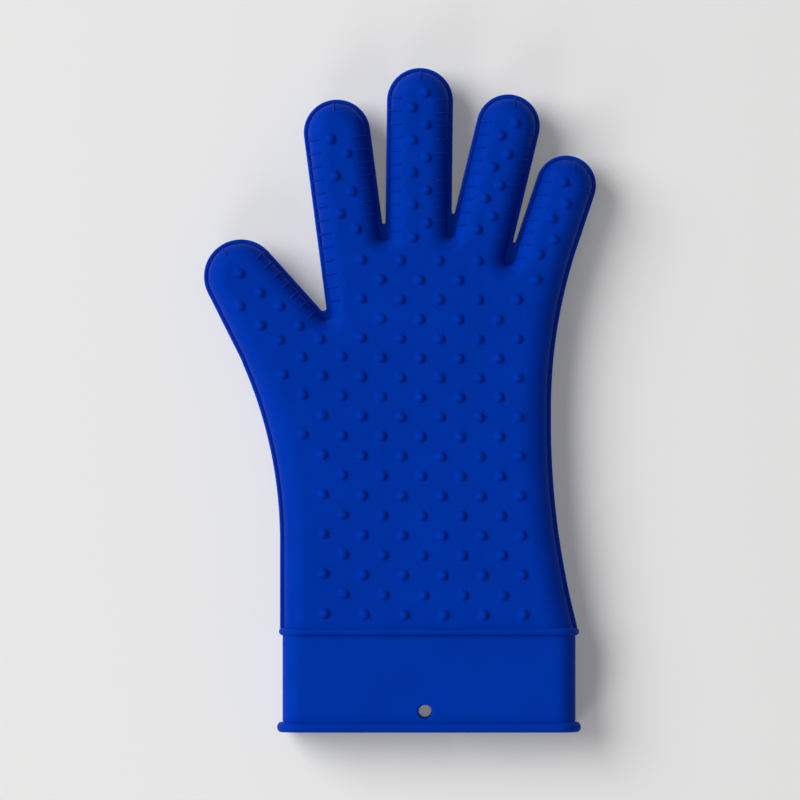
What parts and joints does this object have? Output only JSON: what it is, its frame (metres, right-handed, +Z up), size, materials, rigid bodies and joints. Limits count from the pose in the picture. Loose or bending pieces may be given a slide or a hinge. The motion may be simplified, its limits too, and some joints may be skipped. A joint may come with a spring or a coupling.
{
  "type": "silicone oven glove",
  "caption": "Moulded silicone oven glove with separate fingers, a staggered field of round grip nubs, ribbed finger edges and a plain banded cuff with a hanging hole.",
  "frame": {"origin": "on the surface that the glove lies on, under the middle of its outline", "axes": "+Y from the cuff's open end to the fingertips, +X across the palm away from the thumb, +Z up out of the nubbed palm side that faces up"},
  "size_m": [0.196, 0.332, 0.0295],
  "materials": {
    "silicone_skin": "satin",
    "silicone_cuff": "satin"
  },
  "bodies": {
    "gauntlet": {"cuff_band": "silicone_cuff", "rim_bead": "silicone_cuff", "hem_bead": "silicone_cuff", "gauntlet_front": "silicone_skin", "gauntlet_back": "silicone_skin", "wrist_fold": "silicone_skin"},
    "hand": {"hand_front": "silicone_skin", "hand_back": "silicone_skin", "thumb_knuckle_fold": "silicone_skin", "index_knuckle_fold": "silicone_skin", "middle_knuckle_fold": "silicone_skin", "ring_knuckle_fold": "silicone_skin", "little_knuckle_fold": "silicone_skin"},
    "thumb_base": {"thumb_base_front": "silicone_skin", "thumb_base_back": "silicone_skin", "thumb_middle_fold": "silicone_skin"},
    "thumb_tip": {"thumb_tip_front": "silicone_skin", "thumb_tip_back": "silicone_skin"},
    "index_base": {"index_base_front": "silicone_skin", "index_base_back": "silicone_skin", "index_middle_fold": "silicone_skin"},
    "index_tip": {"index_tip_front": "silicone_skin", "index_tip_back": "silicone_skin"},
    "middle_base": {"middle_base_front": "silicone_skin", "middle_base_back": "silicone_skin", "middle_middle_fold": "silicone_skin"},
    "middle_tip": {"middle_tip_front": "silicone_skin", "middle_tip_back": "silicone_skin"},
    "ring_base": {"ring_base_front": "silicone_skin", "ring_base_back": "silicone_skin", "ring_middle_fold": "silicone_skin"},
    "ring_tip": {"ring_tip_front": "silicone_skin", "ring_tip_back": "silicone_skin"},
    "little_base": {"little_base_front": "silicone_skin", "little_base_back": "silicone_skin", "little_middle_fold": "silicone_skin"},
    "little_tip": {"little_tip_front": "silicone_skin", "little_tip_back": "silicone_skin"}
  },
  "joints": [
    {"name": "wrist", "type": "hinge", "parent": "gauntlet", "child": "hand", "pos_m": [0.0085, -0.02813, 0.01475], "axis": [1, 0, 0], "range_deg": [-30, 30], "stiffness_Nm_per_rad": 1, "deforming": ["wrist_fold"]},
    {"name": "thumb_knuckle", "type": "hinge", "parent": "hand", "child": "thumb_base", "pos_m": [-0.06442, 0.03965, 0.01475], "axis": [0.8266, 0.5628, 0], "range_deg": [-10, 50], "stiffness_Nm_per_rad": 0.2, "deforming": ["thumb_knuckle_fold"]},
    {"name": "thumb_middle", "type": "hinge", "parent": "thumb_base", "child": "thumb_tip", "pos_m": [-0.07458, 0.05457, 0.01475], "axis": [0.8266, 0.5628, 0], "range_deg": [0, 50], "stiffness_Nm_per_rad": 0.1, "deforming": ["thumb_middle_fold"]},
    {"name": "index_knuckle", "type": "hinge", "parent": "hand", "child": "index_base", "pos_m": [-0.02695, 0.09854, 0.01475], "axis": [0.9917, 0.1288, 0], "range_deg": [-10, 60], "stiffness_Nm_per_rad": 0.2, "deforming": ["index_knuckle_fold"]},
    {"name": "index_middle", "type": "hinge", "parent": "index_base", "child": "index_tip", "pos_m": [-0.03036, 0.12482, 0.01475], "axis": [0.9917, 0.1288, 0], "range_deg": [0, 60], "stiffness_Nm_per_rad": 0.1, "deforming": ["index_middle_fold"]},
    {"name": "middle_knuckle", "type": "hinge", "parent": "hand", "child": "middle_base", "pos_m": [0.00951, 0.1092, 0.01475], "axis": [0.9999, -0.0122, 0], "range_deg": [-10, 60], "stiffness_Nm_per_rad": 0.2, "deforming": ["middle_knuckle_fold"]},
    {"name": "middle_middle", "type": "hinge", "parent": "middle_base", "child": "middle_tip", "pos_m": [0.00981, 0.13355, 0.01475], "axis": [0.9999, -0.0122, 0], "range_deg": [0, 60], "stiffness_Nm_per_rad": 0.1, "deforming": ["middle_middle_fold"]},
    {"name": "ring_knuckle", "type": "hinge", "parent": "hand", "child": "ring_base", "pos_m": [0.04621, 0.10413, 0.01475], "axis": [0.9724, -0.2334, 0], "range_deg": [-10, 60], "stiffness_Nm_per_rad": 0.2, "deforming": ["ring_knuckle_fold"]},
    {"name": "ring_middle", "type": "hinge", "parent": "ring_base", "child": "ring_tip", "pos_m": [0.05178, 0.12732, 0.01475], "axis": [0.9724, -0.2334, 0], "range_deg": [0, 60], "stiffness_Nm_per_rad": 0.1, "deforming": ["ring_middle_fold"]},
    {"name": "little_knuckle", "type": "hinge", "parent": "hand", "child": "little_base", "pos_m": [0.07587, 0.08571, 0.01475], "axis": [0.9489, -0.3156, 0], "range_deg": [-10, 55], "stiffness_Nm_per_rad": 0.2, "deforming": ["little_knuckle_fold"]},
    {"name": "little_middle", "type": "hinge", "parent": "little_base", "child": "little_tip", "pos_m": [0.0809, 0.10085, 0.01475], "axis": [0.9489, -0.3156, 0], "range_deg": [0, 40], "stiffness_Nm_per_rad": 0.1, "deforming": ["little_middle_fold"]}
  ]
}
